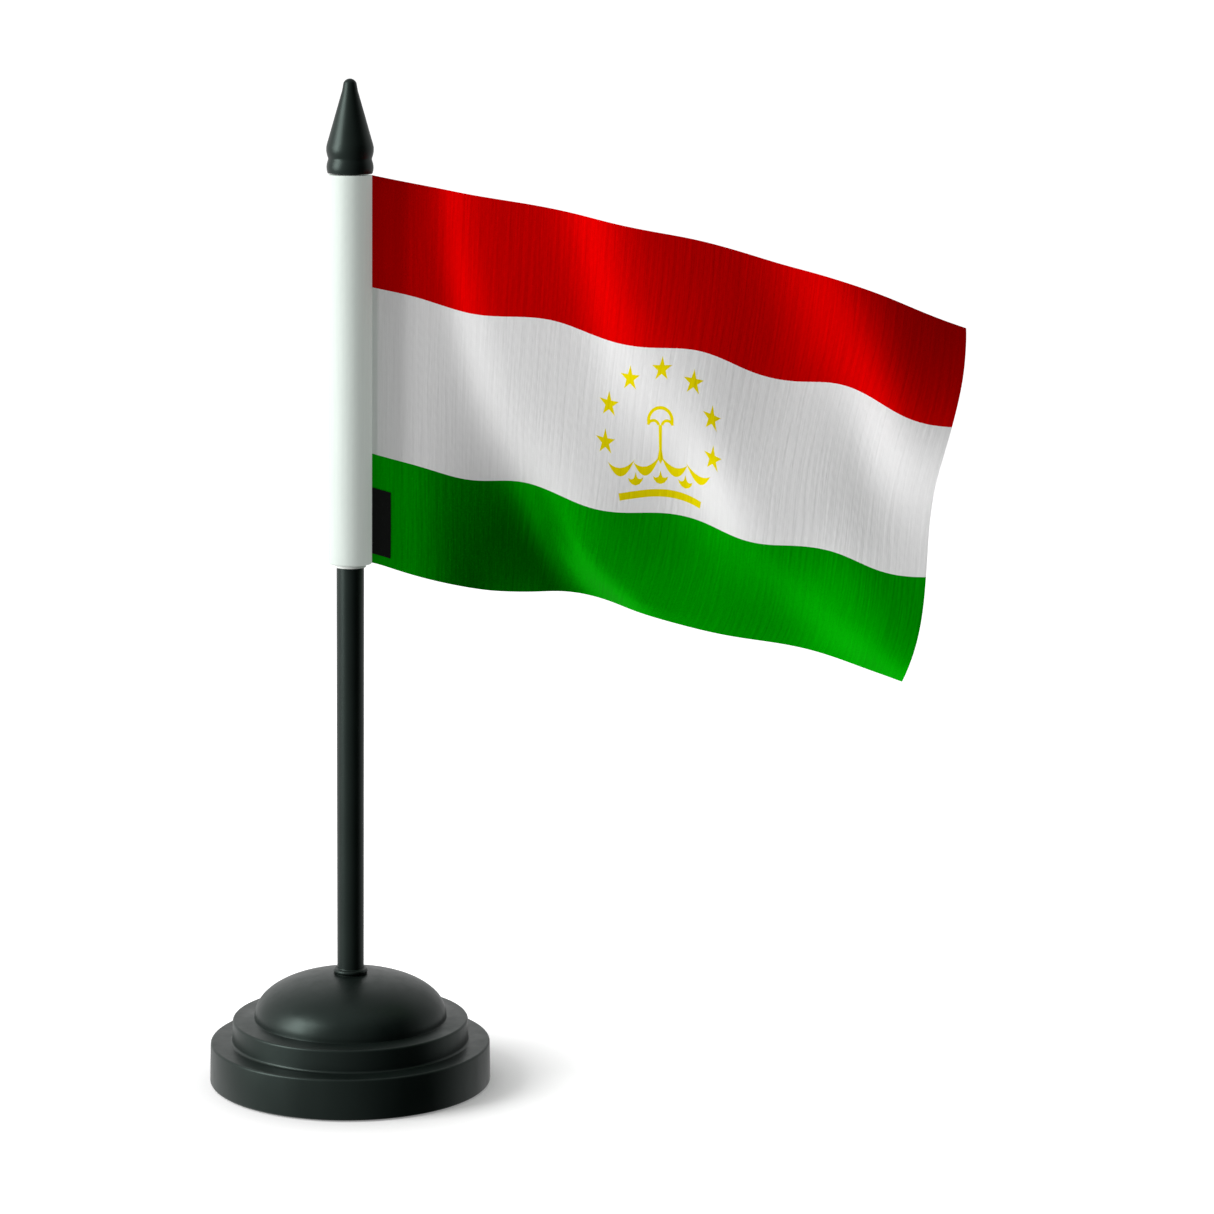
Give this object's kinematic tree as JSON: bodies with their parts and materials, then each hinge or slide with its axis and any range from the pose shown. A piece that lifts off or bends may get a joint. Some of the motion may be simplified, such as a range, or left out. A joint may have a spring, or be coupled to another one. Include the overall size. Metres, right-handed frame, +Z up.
{
  "type": "desk flag stand",
  "caption": "Small desk flag on a slim black pole in a stepped, domed, weighted round foot, with a stiff sleeve that turns on the pole under a pointed push-in finial.",
  "frame": {"origin": "centre of the underside, on the pole's axis", "axes": "+Z up along the pole, +X towards the flag's fly end, -Y out of the flag's front"},
  "size_m": [0.1954, 0.074, 0.2625],
  "materials": {
    "black_plastic": "satin black, fine moulded texture",
    "white_plastic": "smooth white",
    "steel": "plain zinc-plated",
    "foam": "matt closed-cell foam",
    "sleeve_fabric": "stiffened white satin weave",
    "flag_satin": "printed polyester satin, red, white and green stripes",
    "label_ribbon": "black woven ribbon"
  },
  "bodies": {
    "base": {"base_shell": "black_plastic", "ballast_disc": "steel", "base_cover": "black_plastic", "cover_screw_1": "steel", "cover_screw_2": "steel", "cover_screw_3": "steel", "nonslip_pad": "foam"},
    "collar": {"socket_collar": "black_plastic"},
    "pole": {"pole": "black_plastic"},
    "flag": {"sleeve": "sleeve_fabric", "sleeve_top_ring": "white_plastic", "sleeve_bottom_ring": "white_plastic", "flag_cloth": "flag_satin", "woven_label": "label_ribbon"},
    "finial": {"finial": "black_plastic"}
  },
  "joints": [
    {"name": "collar_turn", "type": "hinge", "parent": "base", "child": "collar", "pos_m": [0, 0, 0.02], "axis": [0, 0, 1], "continuous": true},
    {"name": "pole_lift", "type": "slide", "parent": "collar", "child": "pole", "axis": [0, 0, 1], "range_m": [0, 0.02]},
    {"name": "flag_swivel", "type": "hinge", "parent": "pole", "child": "flag", "pos_m": [0, 0, 0.19], "axis": [0, 0, 1], "continuous": true},
    {"name": "finial_pull", "type": "slide", "parent": "pole", "child": "finial", "axis": [0, 0, 1], "range_m": [0, 0.013]}
  ]
}
